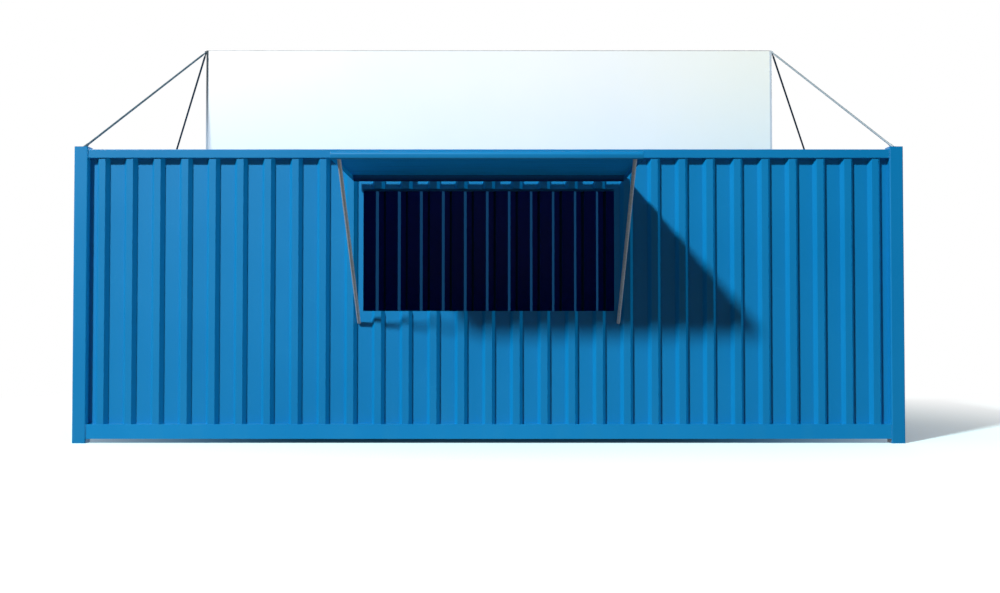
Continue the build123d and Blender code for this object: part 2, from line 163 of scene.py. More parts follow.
# Camera, at the photograph's station
cameraLook = {"place": (0.0999, -9.812, 1.076), "tilt": 1.321, "lens": 37.706, "sensor": 36.0, "reach": 500}
camera = bpy.data.objects.new("stationCamera", bpy.data.cameras.new("stationCamera"))
camera.data.sensor_width = cameraLook["sensor"]
camera.data.lens = cameraLook["lens"]
camera.location = cameraLook["place"]
camera.rotation_euler = (math.radians(90 + cameraLook["tilt"]), 0, 0)
camera.data.clip_end = cameraLook["reach"]
scene.collection.objects.link(camera)
scene.camera = camera
print("camera set")

# Floor: white to the eye with the object's shadow on it, and duller for the light it throws back; its painted glow
# is painted darker where the container closes round it (painted shade) and bluer close to it (painted bounce light)
floorLook = {
    "size": 150, "bounce": 0.26, "clear": (0.62, 0.85, 0.85), "paintedGlow": 0.60, "nearBy": 3.0,
    "closeUp": 0.3, "paintedBlueBounce": (0.30, 0.85, 1.0), "openTint": (0.93, 0.98, 1.0),
    "below": 0.50, "belowLeast": 0.045, "endStart": 1.4, "endFull": 4.8, "sideInset": 0.02, "endInset": 0.04,
    "midTint": (0.06, 0.5, 1.0), "endTint": (0.85, 0.95, 1.0), "fadeStart": 4.5, "fadeEnd": 8.5,
}


def makeFloor():
    look = floorLook
    bm = bmesh.new()
    bmesh.ops.create_grid(bm, x_segments=1, y_segments=1, size=look["size"])
    mesh = bpy.data.meshes.new("paleFloor")
    bm.to_mesh(mesh)
    bm.free()
    floor = bpy.data.objects.new("paleFloor", mesh)
    scene.collection.objects.link(floor)
    finish, place = startFinish("floorFinish")
    tree = finish.node_tree
    rays = tree.nodes.new("ShaderNodeLightPath").outputs
    eye = Wire(tree, rays["Is Camera Ray"])
    shown = eye
    for otherRay in ("Is Glossy Ray", "Is Transmission Ray"):
        shown = shown.sum("MAXIMUM", shown, Wire(tree, rays[otherRay]))
    away = place.node("ShaderNodeVectorMath", {"operation": "LENGTH"}, {"Vector": place}, "Value")
    # painted shade: the painted glow weakens where things close round the floor, and turns blue there as painted
    # bounce light
    openness = place.node("ShaderNodeAmbientOcclusion", {"samples": 8}, {"Distance": look["nearBy"]}, "AO")
    dull = place.node("ShaderNodeBsdfDiffuse", {}, {"Color": rgb(*[look["bounce"]] * 3)})
    # the clear floor's cyan tint is painted bounce light from the blue walls, and shows near the container
    clear = place.node("ShaderNodeBsdfDiffuse", {}, {"Color": rgb(*look["clear"])})
    paintedBounceTint = openness.ease(0.0, look["closeUp"]).blend(rgb(*look["paintedBlueBounce"]), rgb(*look["openTint"]))
    paintedGlow = place.node("ShaderNodeEmission", {}, {"Color": paintedBounceTint, "Strength": openness * look["paintedGlow"]})
    white = place.node("ShaderNodeEmission", {}, {"Color": rgb(1, 1, 1), "Strength": 1.0})
    lit = place.node("ShaderNodeAddShader", {}, {"Shader": clear, "Shader_001": paintedGlow})
    # painted light on the floor under the container, faint and blue in the middle and brighter towards both ends
    depth = place.axis("Y")
    span = place.sum("ABSOLUTE", place.axis("X"))
    front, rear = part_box("front_bottom_rail")[0][1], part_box("rear_bottom_rail")[1][1]
    below = (depth > front + look["sideInset"]) * (depth < rear - look["sideInset"])
    below = below * (span < cadBox[1][0] - look["endInset"])
    nearEnd = span.ease(look["endStart"], look["endFull"])
    paintedUnderLight = below * (look["belowLeast"] + nearEnd * look["below"])
    paintedUnderLightTint = nearEnd.blend(rgb(*look["midTint"]), rgb(*look["endTint"]))
    paintedUnderLightGlow = place.node("ShaderNodeEmission", {}, {"Color": paintedUnderLightTint, "Strength": paintedUnderLight})
    lit = place.node("ShaderNodeAddShader", {}, {"Shader": lit, "Shader_001": paintedUnderLightGlow})
    far = away.ease(look["fadeStart"], look["fadeEnd"]) * shown
    chosen = far.choose(eye.choose(dull, lit), white)
    tree.links.new(chosen.socket, tree.nodes["Material Output"].inputs["Surface"])
    mesh.materials.append(finish)
    floor.visible_glossy = False
    return floor


paleFloor = makeFloor()
print("floor made")

# Light: a soft lamp high on the left in front, a low one from the right that fills, one behind, and a faint sky
lightLook = {
    "aim": (0.0, -0.6, 1.6), "sky": 0.05, "skyTint": (0.95, 0.98, 1.0), "whiteFrom": 0.85,
    "keyLamp": {"place": (-23.2, -27.6, 30.0), "level": 4.6, "width": 3.5, "shadow": True},
    "sideLamp": {"place": (38.0, 1.2, 2.4), "level": 1.15, "width": 4.0, "shadow": False},
    "rearLamp": {"place": (4.0, 30.0, 20.0), "level": 2.6, "width": 6.0, "shadow": True},
}


def addLamp(name):
    look = lightLook[name]
    away = Vector(lightLook["aim"]) - Vector(look["place"])
    lamp = bpy.data.lights.new(name, "AREA")
    lamp.shape = "DISK"
    lamp.size = look["width"]
    lamp.energy = look["level"] * math.pi * away.length ** 2
    lamp.use_shadow = look["shadow"]
    obj = bpy.data.objects.new(name, lamp)
    obj.location = look["place"]
    obj.rotation_mode = "QUATERNION"
    obj.rotation_quaternion = away.to_track_quat("-Z", "Y")
    obj.visible_glossy = name == "keyLamp"
    scene.collection.objects.link(obj)
    return obj


# only the key lamp lights the floor
floorOnly = bpy.data.collections.new("floorOnly")
floorOnly.objects.link(paleFloor)
floorOnly.collection_objects[0].light_linking.link_state = "EXCLUDE"
addLamp("keyLamp")
for fillName in ("sideLamp", "rearLamp"):
    addLamp(fillName).light_linking.receiver_collection = floorOnly


def makeSky():
    # white to the eye, and in mirrors only straight behind the object
    sky = bpy.data.worlds.new("evenSky")
    sky.use_nodes = True
    tree = sky.node_tree
    tree.nodes.clear()
    output = tree.nodes.new("ShaderNodeOutputWorld")
    rays = tree.nodes.new("ShaderNodeLightPath").outputs
    toward = Wire(tree, tree.nodes.new("ShaderNodeTexCoord").outputs["Generated"])
    behind = toward.axis("Y") > lightLook["whiteFrom"]
    glossy, through = (Wire(tree, rays[kind]) for kind in ("Is Glossy Ray", "Is Transmission Ray"))
    mirrored = toward.sum("MAXIMUM", glossy, through)
    seen = toward.sum("MAXIMUM", Wire(tree, rays["Is Camera Ray"]), mirrored * behind)
    white = seen.node("ShaderNodeBackground", {}, {"Color": rgb(1, 1, 1), "Strength": 1.0})
    faint = {"Color": rgb(*lightLook["skyTint"]), "Strength": (1 - mirrored) * lightLook["sky"]}
    low = seen.node("ShaderNodeBackground", {}, faint)
    tree.links.new(seen.choose(low, white).socket, output.inputs["Surface"])
    return sky


scene.world = makeSky()
scene.view_settings.view_transform = "Standard"
print("lights set")

# Finishes
paintLook = {
    "colour": (0.0006, 0.198, 0.468), "evenness": 0.72,
    "pale": (0.002, 0.222, 0.505), "deep": (0.0002, 0.172, 0.428),
    "streak": (0.003, 0.212, 0.470), "streakShare": 0.16,
    "grain": (0.0, 0.158, 0.385), "grainShare": 0.10,
    "scuff": (0.015, 0.27, 0.54), "scuffShare": 0.22, "scuffNet": 4.2, "scuffWide": 0.006, "scuffFrom": 0.60,
    "dust": (0.004, 0.22, 0.40), "dustShare": 0.08, "dustLow": 0.05, "dustHigh": 0.6,
    # inside, lit and dim are painted shade and painted light for the inner faces of the long walls
    "inside": (0.0010, 0.020, 0.310), "lit": (0.020, 0.150, 0.385), "dim": (0.0002, 0.0012, 0.012),
    "middleY": 0.618, "flank": 0.2, "roughness": 0.35, "gloss": 0.55, "relief": 0.004, "bottomRailPaintedLight": 1.16,
}


def makePaint(name, paintShadeInside, lift=1.0):
    look = paintLook
    finish, place = startFinish(name)
    patch = place.noise(0.8, 3.0)
    streak = place.noise(6.0, 4.0, (1.0, 1.0, 0.06))
    grain = place.noise(55.0, 4.0)
    peel = place.noise(420.0, 2.0)
    dent = place.noise(1.6, 2.0, (1.0, 1.0, 0.55))
    # hairline scuffs along the edges of a cell pattern, in patches
    cells = {"Vector": place, "Scale": look["scuffNet"]}
    lines = place.node("ShaderNodeTexVoronoi", {"feature": "DISTANCE_TO_EDGE"}, cells, "Distance")
    scuff = (lines < look["scuffWide"]) * (place.noise(3.1, 3.0) > look["scuffFrom"])
    dust = (1 - place.axis("Z").ease(look["dustLow"], look["dustHigh"])) * streak.ease(0.42, 0.68)
    tone = patch.ease(0.3, 0.7).blend(rgb(*look["deep"]), rgb(*look["pale"]))
    tone = place.mix(look["evenness"], tone, rgb(*look["colour"]))
    tone = (streak.ease(0.5, 0.75) * look["streakShare"]).blend(tone, rgb(*look["streak"]))
    tone = (grain.ease(0.55, 0.8) * look["grainShare"]).blend(tone, rgb(*look["grain"]))
    tone = (scuff * look["scuffShare"]).blend(tone, rgb(*look["scuff"]))
    tone = (dust * look["dustShare"]).blend(tone, rgb(*look["dust"]))
    # painted light: a lift above 1 paints the surface lighter
    if lift > 1:
        tone = place.mix(1.0, tone, rgb(lift, lift, lift), "MULTIPLY")
    if paintShadeInside:
        # the faces of the long walls that look into the container are painted darker as painted shade, their flanks
        # that face the right end painted lighter as painted light, and those that face the left end painted nearly
        # black as painted shade
        facing = place.node("ShaderNodeTexCoord", out="Normal")
        facingX = facing.axis("X")
        inward = (facing.axis("Y") * (place.axis("Y") - look["middleY"])) < 0.0
        duller = (facingX > look["flank"]).blend(rgb(*look["inside"]), rgb(*look["lit"]))
        duller = (facingX < -look["flank"]).blend(duller, rgb(*look["dim"]))
        tone = inward.blend(tone, duller)
    rough = look["roughness"] + (grain - 0.5) * 0.10 + dust * 0.04 + (patch - 0.5) * 0.08
    relief = dent + peel * 0.02 + grain * 0.03 - scuff * 0.02
    inputs = {"Base Color": tone, "Roughness": rough, "Specular IOR Level": look["gloss"]}
    return closeFinish(finish, place, inputs, relief, look["relief"], strength=0.6)


linerLook = {
    "colour": (0.0010, 0.300, 0.68), "grain": (0.0005, 0.245, 0.58),
    "roughness": 0.6, "gloss": 0.2, "relief": 0.0006,
}


def makeLiner():
    look = linerLook
    finish, place = startFinish("linerPaint")
    fibre = place.noise(30.0, 5.0, (0.06, 1.0, 1.0))
    patch = place.noise(1.4, 2.0)
    tone = fibre.ease(0.4, 0.7).blend(rgb(*look["colour"]), rgb(*look["grain"]))
    rough = look["roughness"] + (patch - 0.5) * 0.2
    inputs = {"Base Color": tone, "Roughness": rough, "Specular IOR Level": look["gloss"]}
    return closeFinish(finish, place, inputs, fibre, look["relief"], strength=0.5)


zincLook = {
    "dark": (0.36, 0.385, 0.40), "light": (0.53, 0.56, 0.58), "smear": (0.58, 0.61, 0.63), "smearShare": 0.3,
    "spangle": 85.0, "roughness": 0.5, "metal": 0.25, "relief": 0.0005,
}


def makeZinc():
    look = zincLook
    finish, place = startFinish("galvanisedSteel")
    cells = {"Vector": place, "Scale": look["spangle"]}
    spangle = place.node("ShaderNodeTexVoronoi", {"feature": "F1"}, cells, "Color")
    shade = place.node("ShaderNodeSeparateColor", {}, {"Color": spangle}, "Red")
    smear = place.noise(9.0, 4.0)
    tone = (shade * 0.6 + smear * 0.4).blend(rgb(*look["dark"]), rgb(*look["light"]))
    tone = (smear.ease(0.60, 0.78) * look["smearShare"]).blend(tone, rgb(*look["smear"]))
    rough = look["roughness"] + (shade - 0.5) * 0.15 + (smear - 0.5) * 0.2
    inputs = {"Base Color": tone, "Roughness": rough, "Metallic": look["metal"]}
    return closeFinish(finish, place, inputs, smear, look["relief"], strength=0.5)


stayLook = {
    "dark": (0.090, 0.160, 0.205), "light": (0.135, 0.220, 0.275),
    "worn": (0.32, 0.39, 0.43), "wornShare": 0.85, "paintedShadeBehind": (0.008, 0.034, 0.056), "paintedShadeBehindShare": 0.97,
    "roughness": 0.42, "metal": 0.25, "relief": 0.0003,
}


def makeStaySteel():
    look = stayLook
    finish, place = startFinish("staySteel")
    smear = place.noise(14.0, 4.0)
    brush = place.noise(160.0, 2.0)
    trimLow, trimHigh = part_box("board_left_trim")
    tone = smear.ease(0.3, 0.7).blend(rgb(*look["dark"]), rgb(*look["light"]))
    # the stay in front on the right is paler, and the two behind are painted darker as painted shade
    right = place.axis("X") > 0.0
    rear = place.axis("Y") > (trimLow[1] + trimHigh[1]) / 2
    tone = (right * look["wornShare"]).blend(tone, rgb(*look["worn"]))
    tone = (rear * look["paintedShadeBehindShare"]).blend(tone, rgb(*look["paintedShadeBehind"]))
    rough = look["roughness"] + (brush - 0.5) * 0.2
    inputs = {"Base Color": tone, "Roughness": rough, "Metallic": look["metal"]}
    return closeFinish(finish, place, inputs, brush, look["relief"], strength=0.4)


edgeLook = {
    "dark": (0.004, 0.022, 0.032), "pale": (0.55, 0.64, 0.70), "low": 2.85, "high": 3.62,
    "smear": (0.16, 0.19, 0.21), "smearShare": 0.12, "roughness": 0.48, "metal": 0.1, "relief": 0.0003,
}


def makeEdgeSteel():
    # the strip on the left is dark at its head and paler towards its foot
    look = edgeLook
    finish, place = startFinish("boardEdgeSteel")
    smear = place.noise(18.0, 4.0, (1.0, 1.0, 0.3))
    brush = place.noise(180.0, 2.0)
    worn = place.axis("Z") + (smear - 0.5) * 0.12
    darkness = worn.ease(look["low"], look["high"]) * (place.axis("X") < 0.0)
    tone = darkness.blend(rgb(*look["pale"]), rgb(*look["dark"]))
    tone = (smear.ease(0.5, 0.8) * look["smearShare"]).blend(tone, rgb(*look["smear"]))
    rough = look["roughness"] + (brush - 0.5) * 0.2
    inputs = {"Base Color": tone, "Roughness": rough, "Metallic": look["metal"]}
    return closeFinish(finish, place, inputs, brush, look["relief"], strength=0.4)


boardLook = {
    "colour": (0.80, 0.905, 0.925), "shade": (0.755, 0.875, 0.90), "run": (0.70, 0.80, 0.83), "runShare": 0.10,
    "head": (1.13, 1.03, 1.0), "foot": (1.0, 0.975, 1.0), "right": (0.965, 0.985, 0.925), "paintedShadeFrom": 0.2,
    "roughness": 0.42, "gloss": 0.2, "relief": 0.0002,
}


def makeBoard():
    look = boardLook
    finish, place = startFinish("boardWhite")
    cloud = place.noise(0.9, 3.0)
    fine = place.noise(120.0, 3.0)
    runs = place.noise(7.0, 4.0, (1.0, 1.0, 0.05))
    tone = (cloud.ease(0.35, 0.75) * 0.5).blend(rgb(*look["colour"]), rgb(*look["shade"]))
    tone = (runs.ease(0.6, 0.85) * look["runShare"]).blend(tone, rgb(*look["run"]))
    # the white is whiter towards its head, and painted darker and a little yellower towards its right end as painted
    # shade
    low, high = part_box("sign_board")
    upward = place.axis("Z").ease(low[2], high[2])
    paintedShadeRightward = place.axis("X").ease(look["paintedShadeFrom"] * high[0], high[0])
    tone = place.mix(1.0, tone, upward.blend(rgb(*look["foot"]), rgb(*look["head"])), "MULTIPLY")
    tone = place.mix(1.0, tone, paintedShadeRightward.blend(rgb(1, 1, 1), rgb(*look["right"])), "MULTIPLY")
    rough = look["roughness"] + (fine - 0.5) * 0.12
    inputs = {"Base Color": tone, "Roughness": rough, "Specular IOR Level": look["gloss"]}
    return closeFinish(finish, place, inputs, fine, look["relief"], strength=0.3)


trimLook = {
    "light": (0.50, 0.53, 0.55), "dark": (0.36, 0.39, 0.41), "roughness": 0.38, "metal": 0.6, "relief": 0.0002,
}


def makeTrim():
    look = trimLook
    finish, place = startFinish("boardAluminium")
    drawn = place.noise(220.0, 3.0, (0.03, 1.0, 1.0))
    smear = place.noise(6.0, 3.0)
    tone = (drawn * 0.6 + smear * 0.4).blend(rgb(*look["dark"]), rgb(*look["light"]))
    rough = look["roughness"] + (drawn - 0.5) * 0.2
    inputs = {"Base Color": tone, "Roughness": rough, "Metallic": look["metal"]}
    return closeFinish(finish, place, inputs, drawn, look["relief"], strength=0.4)


plyLook = {
    "light": (0.085, 0.066, 0.048), "dark": (0.045, 0.035, 0.026), "gap": (0.012, 0.009, 0.007), "gapShare": 0.8,
    "worn": (0.055, 0.048, 0.042), "wornShare": 0.35, "board": 1.22, "joint": 0.004,
    "roughness": 0.55, "gloss": 0.3, "relief": 0.0012,
}


def makePly():
    look = plyLook
    finish, place = startFinish("floorPlywood")
    fibre = place.noise(26.0, 5.0, (0.05, 1.0, 1.0))
    patch = place.noise(1.1, 3.0)
    joint = place.sum("PINGPONG", place.axis("X"), look["board"]) < look["joint"]
    tone = (fibre * 0.7 + patch * 0.3).ease(0.35, 0.68).blend(rgb(*look["light"]), rgb(*look["dark"]))
    tone = (joint * look["gapShare"]).blend(tone, rgb(*look["gap"]))
    tone = (patch.ease(0.5, 0.8) * look["wornShare"]).blend(tone, rgb(*look["worn"]))
    rough = look["roughness"] + (fibre - 0.5) * 0.25
    inputs = {"Base Color": tone, "Roughness": rough, "Specular IOR Level": look["gloss"]}
    return closeFinish(finish, place, inputs, fibre - joint, look["relief"], strength=0.6)


undersealLook = {
    "dark": (0.009, 0.014, 0.022), "light": (0.026, 0.034, 0.046), "roughness": 0.75, "gloss": 0.3, "relief": 0.002,
}


def makeUnderseal():
    look = undersealLook
    finish, place = startFinish("underseal")
    lump = place.noise(38.0, 5.0)
    mud = place.noise(2.2, 3.0)
    tone = (lump * 0.5 + mud * 0.5).ease(0.35, 0.75).blend(rgb(*look["dark"]), rgb(*look["light"]))
    rough = look["roughness"] + (mud - 0.5) * 0.2
    inputs = {"Base Color": tone, "Roughness": rough, "Specular IOR Level": look["gloss"]}
    return closeFinish(finish, place, inputs, lump, look["relief"], strength=0.7)


sealLook = {
    "head": (0.002, 0.085, 0.230), "foot": (0.0005, 0.020, 0.100), "low": 2.300, "high": 2.350,
    "roughness": 0.66, "gloss": 0.2, "relief": 0.0006,
}


def makeSeal():
    # rubber strip painted over with the container, painted darker towards its free edge as painted shade
    look = sealLook
    finish, place = startFinish("sealRubberPaintedShade")
    crease = place.noise(45.0, 4.0, (0.2, 1.0, 1.0))
    worn = place.axis("Z") + (crease - 0.5) * 0.012
    tone = worn.ease(look["low"], look["high"]).blend(rgb(*look["foot"]), rgb(*look["head"]))
    rough = look["roughness"] + (crease - 0.5) * 0.2
    inputs = {"Base Color": tone, "Roughness": rough, "Specular IOR Level": look["gloss"]}
    return closeFinish(finish, place, inputs, crease, look["relief"], strength=0.5)


finishes = {
    "container_paint": makePaint("containerPaint", False), "hatch_liner_paint": makeLiner(),
    "galvanised_steel": makeZinc(), "stay_steel": makeStaySteel(), "board_white": makeBoard(),
    "board_aluminium": makeTrim(), "board_edge_steel": makeEdgeSteel(), "floor_plywood": makePly(),
    "underframe_steel": makeUnderseal(),
}
for row in frame["record"]["subparts"]:
    slots = nodes[row["node"]].data.materials
    slots.clear()
    slots.append(finishes[row["material_slot"]])
# the long walls carry painted shade and painted light on their inner faces
wallPaintWithPaintedShade = makePaint("wallPaintWithPaintedShade", True)
frontParts = [f"front_wall_{part}" for part in ("left", "right", "above_hatch", "below_hatch")]
for wallName in (*frontParts, "rear_wall"):
    nodes[wallName].data.materials[0] = wallPaintWithPaintedShade
# the bottom rails are painted lighter than the walls, as painted light
paintedLightRails = makePaint("paintedLightRails", False, paintLook["bottomRailPaintedLight"])
for railEnd in ("front", "rear", "left", "right"):
    nodes[f"{railEnd}_bottom_rail"].data.materials[0] = paintedLightRails
print("finishes made for", len(finishes), "slots")


mergeGap = 0.00002  # corners nearer than this are one


def addPiece(name, bm, body, slotName, smooth=0, finish=None):
    # smooth is the widest angle, in degrees, that is shaded as a curve
    bmesh.ops.remove_doubles(bm, verts=bm.verts, dist=mergeGap)
    bmesh.ops.recalc_face_normals(bm, faces=bm.faces)
    mesh = bpy.data.meshes.new(name)
    bm.to_mesh(mesh)
    bm.free()
    piece = bpy.data.objects.new(name, mesh)
    scene.collection.objects.link(piece)
    mesh.materials.append(finish or finishes[slotName])
    if smooth:
        mesh.polygons.foreach_set("use_smooth", [True] * len(mesh.polygons))
        mesh.set_sharp_from_angle(angle=math.radians(smooth))
    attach(piece, body)
    return piece


def turned(bm, profile, place, direction, steps=12):
    # (radius, height) points spun about an axis through place
    axis = Vector(direction).normalized()
    outward = axis.orthogonal().normalized()
    corners = [bm.verts.new(Vector(place) + outward * radius + axis * height) for radius, height in profile]
    rims = [bm.edges.new(pair) for pair in zip(corners, corners[1:])]
    bmesh.ops.spin(
        bm, geom=corners + rims, axis=axis, cent=place, angle=math.tau, steps=steps, use_merge=True,
    )


def roundOff(bm, edges, radius, steps):
    bmesh.ops.bevel(
        bm, geom=edges, offset=radius, offset_type="OFFSET", affect="EDGES",
        segments=steps, profile=0.5, material=-1,
    )


def strip(bm, low, high, edge):
    # a straight strip between two corners, its edges rounded
    made = bmesh.ops.create_cube(bm, size=1.0)["verts"]
    middle = (Vector(low) + Vector(high)) / 2
    span = Vector(high) - Vector(low)
    place = Matrix.Translation(middle) @ Matrix.Diagonal((*span, 1))
    bmesh.ops.transform(bm, matrix=place, verts=made)
    roundOff(bm, list({e for v in made for e in v.link_edges}), edge, 2)


def domeHead(radius, height):
    rise = [(0.0, height), (radius * 0.45, height * 0.92), (radius * 0.8, height * 0.6)]
    return rise + [(radius, 0.0), (0.0, -0.001)]


def hexHead(radius, height):
    rise = [(0.0, height), (radius * 0.82, height), (radius, height * 0.82)]
    return rise + [(radius, 0.0), (0.0, -0.001)]


# Weld beads in the corners between rails and posts
weldLook = {"step": 0.006, "radius": 0.0042, "flat": 0.8, "around": 8, "rings": 5}


def makeWelds():
    bm = bmesh.new()
    places = []
    for end in ("left", "right"):
        for face in ("front", "rear"):
            postLow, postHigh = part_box(f"{face}_{end}_post")
            innerX = postHigh.x if end == "left" else postLow.x
            innerY = postHigh.y if face == "front" else postLow.y
            for level in ("top", "bottom"):
                longLow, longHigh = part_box(f"{face}_{level}_rail")
                faceY = longLow.y if face == "front" else longHigh.y
                places.append((innerX, faceY, longLow.z, longHigh.z))
                endLow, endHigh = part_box(f"{end}_{level}_rail")
                faceX = endLow.x if end == "left" else endHigh.x
                places.append((faceX, innerY, endLow.z, endHigh.z))
    for x, y, low, high in places:
        count = int((high - low) / weldLook["step"])
        for number in range(count):
            z = low + weldLook["step"] * (number + 0.5)
            shape = Matrix.Translation((x, y, z)) @ Matrix.Diagonal((1, 1, weldLook["flat"], 1))
            bmesh.ops.create_uvsphere(
                bm, u_segments=weldLook["around"], v_segments=weldLook["rings"],
                radius=weldLook["radius"], matrix=shape,
            )
    addPiece("weldBeads", bm, "container", "container_paint", smooth=180)


makeWelds()
print("welds made")

# Feet, jackets and bolts of the stays
stayLug = {
    "footInset": 0.058, "lugReach": 0.018, "lugDrop": 0.020, "lugHalf": 0.005, "rod": 0.0066,
    "flange": 0.026, "flangeEdge": 0.003, "flangeThick": 0.005,
    "screws": 3, "screwRing": 0.74, "screwHead": (0.0042, 0.003),
    "sleeve": 0.0120, "sleeveStart": 0.004, "sleeveLength": 0.055,
    "jacket": 0.0092, "jacketStart": 0.05, "jacketTaper": 0.004, "jacketEnd": 0.045,
    "boltDrop": 0.0105, "washer": (0.0038, 0.0015), "boltHead": (0.0030, 0.0035),
}


def makeStayFittings():
    look = stayLug
    feet, bolts, jackets = bmesh.new(), bmesh.new(), bmesh.new()
    wide, thick, rod = look["flange"], look["flangeThick"], look["rod"]
    tube, rise = look["sleeve"], look["sleeveLength"]
    flange = [(0.0, 0.0), (wide, 0.0), (wide, look["flangeEdge"]), (wide * 0.9, thick), (tube, thick), (0.0, thick)]
    collar = [(tube, look["sleeveStart"]), (tube, rise * 0.9), (tube * 0.86, rise), (rod, rise)]
    ring, tall = look["washer"]
    washer = [(0.0, tall), (ring, tall), (ring, 0.0), (0.0, 0.0)]
    for end, side in (("left", -1), ("right", 1)):
        trimLow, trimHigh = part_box(f"board_{end}_trim")
        headX = (trimLow.x if side < 0 else trimHigh.x) - side * look["lugReach"] / 2
        headZ = trimHigh.z - look["lugDrop"]
        middleY = (trimLow.y + trimHigh.y) / 2
        for face, out in (("front", -1), ("rear", 1)):
            postLow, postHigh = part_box(f"{face}_{end}_post")
            footX = (postHigh.x if side < 0 else postLow.x) + side * look["footInset"]
            foot = Vector((footX, (postLow.y + postHigh.y) / 2, postHigh.z))
            head = Vector((headX, middleY + out * look["lugHalf"], headZ))
            lean = (head - foot).normalized()
            turned(feet, flange, foot, (0, 0, 1), steps=20)
            turned(feet, collar, foot, lean, steps=14)
            wall, near, far = look["jacket"], look["jacketStart"], (head - foot).length - look["jacketEnd"]
            jacket = [(rod, near), (wall, near), (wall, far - look["jacketTaper"]), (wall * 0.85, far), (rod, far)]
            turned(jackets, jacket, foot, lean, steps=14)
            for turn in range(look["screws"]):
                angle = math.tau * (turn + 0.5) / look["screws"]
                around = Vector((math.cos(angle), math.sin(angle), 0))
                spot = foot + around * wide * look["screwRing"] + Vector((0, 0, thick))
                turned(feet, hexHead(*look["screwHead"]), spot, (0, 0, 1), steps=6)
            bolt = Vector((headX, middleY + out * look["lugHalf"], headZ - look["boltDrop"]))
            turned(bolts, washer, bolt, (0, out, 0), steps=12)
            turned(bolts, hexHead(*look["boltHead"]), bolt, (0, out, 0), steps=6)
    addPiece("stayFeet", feet, "container", "stay_steel")
    addPiece("stayBolts", bolts, "container", "stay_steel")
    addPiece("stayJackets", jackets, "container", "stay_steel", smooth=40)


makeStayFittings()
print("stay fittings made")

# Folded cover strips over the upright edges of the board
coverLook = {"lug": 0.018, "wide": 0.021, "thick": 0.0012, "clear": 0.0002, "headClear": 0.0005, "edge": 0.0004}


def makeEdgeCovers():
    bm = bmesh.new()
    look = coverLook
    for end, side in (("left", 1), ("right", -1)):
        low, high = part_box(f"board_{end}_trim")
        outer = (low.x if side > 0 else high.x) + side * look["lug"]
        for face, out in ((low.y, -1), (high.y, 1)):
            across = sorted((outer + side * look["clear"], outer + side * look["wide"]))
            deep = sorted((face, face + out * look["thick"]))
            top = high.z - look["headClear"]
            strip(bm, (across[0], deep[0], low.z), (across[1], deep[1], top), look["edge"])
    addPiece("edgeCovers", bm, "container", "board_edge_steel")


makeEdgeCovers()
print("edge covers made")

# Screws along the board's channel and in the leaves of the hatch hinges
screwLook = {
    "channel": 14, "channelRise": 0.036, "channelHead": (0.0055, 0.003), "leafHead": (0.006, 0.0028),
    "leafRise": 0.034, "leafHalf": 0.061, "leafBack": 0.004, "leafShifts": (-0.044, 0.0, 0.044),
}


def makeScrews():
    look = screwLook
    bm = bmesh.new()
    low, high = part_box("board_channel")
    for number in range(look["channel"]):
        x = low.x + (high.x - low.x) * (number + 0.5) / look["channel"]
        for y, out in ((low.y, -1), (high.y, 1)):
            turned(bm, domeHead(*look["channelHead"]), (x, y, low.z + look["channelRise"]), (0, out, 0), steps=10)
    addPiece("channelScrews", bm, "container", "board_aluminium", smooth=50)
    bm = bmesh.new()
    hingeLow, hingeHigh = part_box("hatch_hinges")
    pivot = Vector(hingePlace)
    faceY = hingeHigh.y - look["leafBack"]
    for placeX in (hingeLow.x + look["leafHalf"], 0.0, hingeHigh.x - look["leafHalf"]):
        for shift in look["leafShifts"]:
            spot = (placeX + shift, faceY, pivot.z + look["leafRise"])
            turned(bm, domeHead(*look["leafHead"]), spot, (0, -1, 0), steps=10)
    addPiece("hingeScrews", bm, "container", "container_paint", smooth=50)


makeScrews()
print("screws made")

# Dark sealing strips in the joints round the door leaves
doorLook = {"deep": 0.034, "back": 0.002, "clear": 0.0006, "edge": 0.0015}


def makeDoorSeals():
    bm = bmesh.new()
    frontLow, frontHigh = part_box("right_end_door_front")
    rearLow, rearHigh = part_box("right_end_door_rear")
    sill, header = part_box("right_bottom_rail")[1].z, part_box("right_top_rail")[0].z
    near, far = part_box("front_right_post")[1].y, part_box("rear_right_post")[0].y
    outer = frontHigh.x - doorLook["back"]
    inner = outer - doorLook["deep"]
    clear, edge = doorLook["clear"], doorLook["edge"]
    for start, end in ((near, frontLow.y), (frontHigh.y, rearLow.y), (rearHigh.y, far)):
        strip(bm, (inner, start + clear, sill + clear), (outer, end - clear, header - clear), edge)
    for leafLow, leafHigh in ((frontLow, frontHigh), (rearLow, rearHigh)):
        for start, end in ((sill, leafLow.z), (leafHigh.z, header)):
            strip(bm, (inner, leafLow.y + clear, start + clear), (outer, leafHigh.y - clear, end - clear), edge)
    addPiece("doorSeals", bm, "container", "underframe_steel")


makeDoorSeals()
print("door seals made")

# Bolts and handle catches of the cargo doors
gearLook = {
    "strapBolts": (0.056, 0.092), "strapThick": 0.006, "strapHead": (0.010, 0.005), "hinges": 4,
    "barInset": 0.260, "barOut": 0.022, "barRadius": 0.016,
    "brackets": (0.06, 0.5, 0.94), "bracketHalf": 0.025, "bracketHead": (0.007, 0.005),
    "handleZ": 1.120, "handleLength": 0.260, "handleHalf": 0.005, "handleTall": 0.017,
    "grip": 0.105, "gripPast": 0.004, "gripSkin": 0.0022, "gripEdge": 0.004,
    "plate": (0.165, 0.120), "plateTall": 0.034, "plateBack": 0.0001, "plateThick": 0.003, "plateEdge": 0.001,
    "plateScrew": (0.005, 0.003), "plateScrewRise": 0.025,
    "stubBack": 0.0025, "stubInset": 0.008, "stubTall": 0.013, "stubClear": 0.0005, "stubEdge": 0.002,
}


